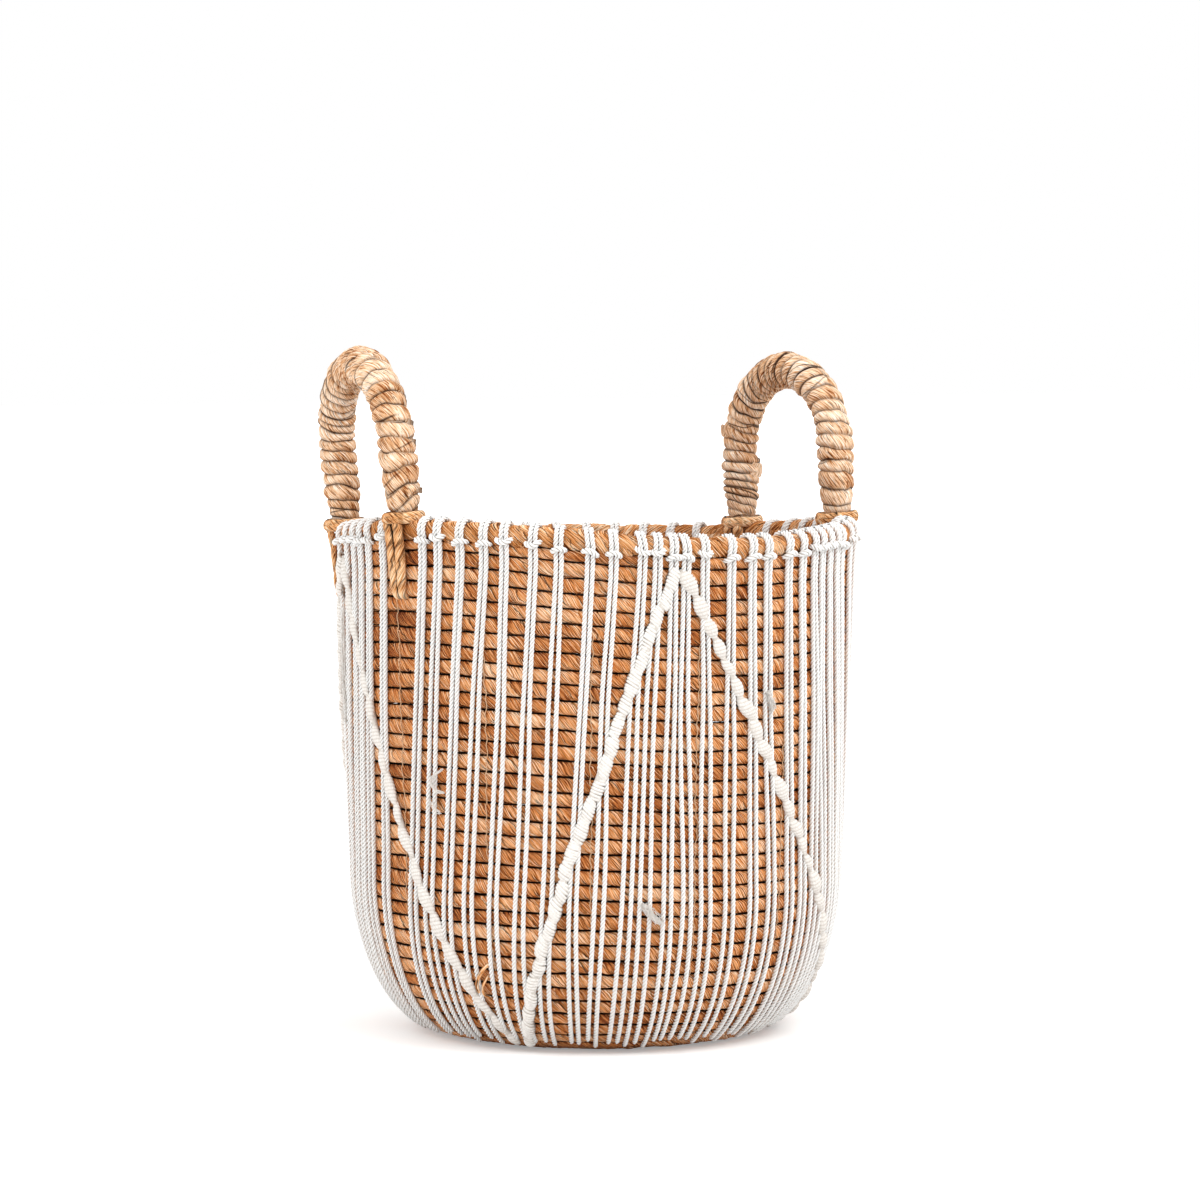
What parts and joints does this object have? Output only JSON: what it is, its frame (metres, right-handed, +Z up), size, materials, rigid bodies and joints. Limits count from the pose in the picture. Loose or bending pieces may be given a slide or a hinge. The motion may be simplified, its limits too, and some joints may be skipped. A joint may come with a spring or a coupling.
{
  "type": "coiled rope basket with cotton macrame dress",
  "caption": "Tall round basket of coiled leaf rope with bound arch handles and a knotted white cotton dress, open at the top for toys, linen or a plant pot.",
  "frame": {"origin": "middle of the underside of the base, on the floor", "axes": "+Z up; the handles stand at the +X and -X sides of the mouth, and the show side faces the direction 243.6 degrees round from +X"},
  "size_m": [0.3306, 0.3293, 0.4259],
  "materials": {
    "leaf_rope": "dried leaf twisted into rope, dull, orange brown with darker patches",
    "handle_core": "bent cane, dull brown, hidden under its binding",
    "leaf_strip": "flat strips of pale dried leaf with a slight sheen",
    "cotton": "plied cotton cord, soft and matte"
  },
  "bodies": {
    "basket": {"base_coil": "leaf_rope", "corner_coil": "leaf_rope", "wall_coil_lower": "leaf_rope", "wall_coil_middle": "leaf_rope", "wall_coil_upper": "leaf_rope", "rim_coil": "leaf_rope", "tie_right_front_a": "leaf_strip", "tie_right_front_b": "leaf_strip", "tie_right_rear_a": "leaf_strip", "tie_right_rear_b": "leaf_strip", "tie_left_front_a": "leaf_strip", "tie_left_front_b": "leaf_strip", "tie_left_rear_a": "leaf_strip", "tie_left_rear_b": "leaf_strip", "macrame_panel_1": "cotton", "macrame_panel_2": "cotton", "macrame_panel_3": "cotton", "macrame_panel_4": "cotton", "macrame_panel_5": "cotton", "macrame_panel_6": "cotton", "macrame_panel_7": "cotton", "macrame_panel_8": "cotton"},
    "right_handle": {"handle_core_right": "handle_core", "handle_binding_right": "leaf_strip"},
    "left_handle": {"handle_core_left": "handle_core", "handle_binding_left": "leaf_strip"}
  },
  "joints": [
    {"name": "right_handle_tilt", "type": "hinge", "parent": "basket", "child": "right_handle", "pos_m": [0.14555, 0.01736, 0.32048], "axis": [-0.1181, 0.9908, -0.0664], "range_deg": [-25, 15]},
    {"name": "left_handle_tilt", "type": "hinge", "parent": "basket", "child": "left_handle", "pos_m": [-0.14626, 0.00971, 0.32633], "axis": [-0.066, -0.9942, 0.085], "range_deg": [-30, 10]}
  ]
}
